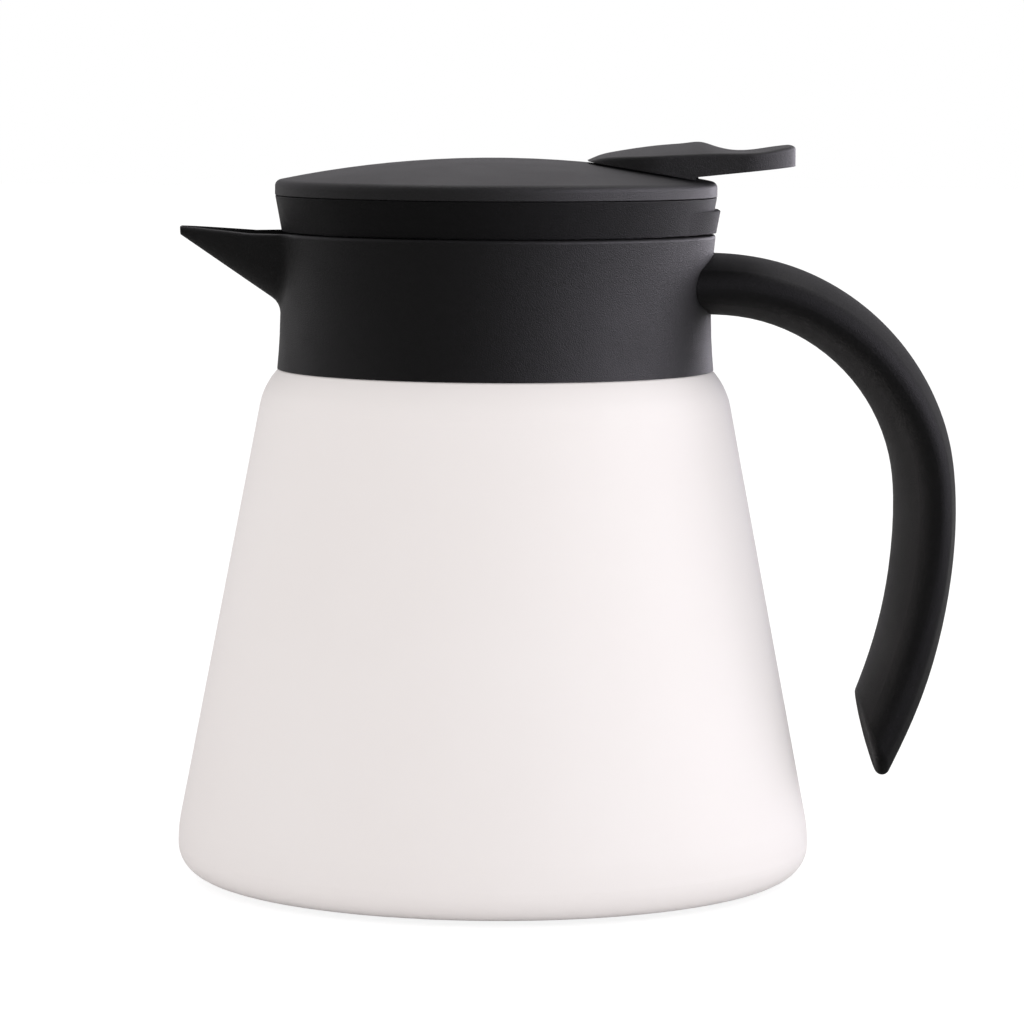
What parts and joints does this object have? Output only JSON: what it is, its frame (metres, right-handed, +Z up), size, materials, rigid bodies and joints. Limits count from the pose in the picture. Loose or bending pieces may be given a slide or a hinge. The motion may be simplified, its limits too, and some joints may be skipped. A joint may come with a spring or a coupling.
{
  "type": "vacuum carafe",
  "caption": "Cone-shaped double-walled steel carafe with a black collar and spout, an open-ended loop handle and a lift-off lid whose thumb lever opens a spring-closed pouring valve.",
  "frame": {"origin": "on the vessel's axis, at the level of the foot ring's underside, where the carafe stands", "axes": "+Z up along the vessel's axis, +X towards the handle, -X towards the spout; the picture looks along +Y"},
  "size_m": [0.1673, 0.1362, 0.1583],
  "materials": {
    "body_paint": "satin off-white paint with a fine powder grain",
    "black_plastic": "matte moulded plastic with a fine spark-eroded grain",
    "grey_plastic": "smooth dark moulded plastic",
    "steel": "brushed stainless steel",
    "silicone": "matte translucent grey silicone",
    "solder": "dull solder",
    "getter_metal": "sintered metal pellet"
  },
  "bodies": {
    "vessel": {"outer_shell": "body_paint", "inner_liner": "steel", "base_plate": "steel", "foot_ring": "silicone", "seal_bead": "solder", "getter": "getter_metal", "neck_ring": "black_plastic", "collar_gasket": "silicone", "collar": "black_plastic", "collar_sleeve": "black_plastic", "handle": "black_plastic", "handle_screws": "steel"},
    "lid": {"lid_skirt": "black_plastic", "lid_cover": "black_plastic", "lever_pin": "steel", "stopper": "grey_plastic", "stopper_gasket": "silicone", "stem_guide": "grey_plastic", "valve_spring": "steel"},
    "lever": {"lever_arm": "black_plastic", "thumb_lever": "black_plastic"},
    "valve": {"valve_stem": "steel", "valve_disc": "grey_plastic", "valve_seal": "silicone", "stem_nut": "steel"}
  },
  "joints": [
    {"name": "lid_lift", "type": "slide", "parent": "vessel", "child": "lid", "axis": [0, 0, 1], "range_m": [0, 0.07]},
    {"name": "lever_press", "type": "hinge", "parent": "lid", "child": "lever", "pos_m": [0.0405, 0, 0.1472], "axis": [0, 1, 0], "range_deg": [0, 7.5], "stiffness_Nm_per_rad": 0.6, "springref_deg": -5.73},
    {"name": "valve_lift", "type": "slide", "parent": "lid", "child": "valve", "axis": [0, 0, 1], "range_m": [0, 0.0056], "deforming": ["valve_spring"]}
  ],
  "couplings": [
    {"joint": "valve_lift", "follows": "lever_press", "m_per_rad": 0.04}
  ]
}
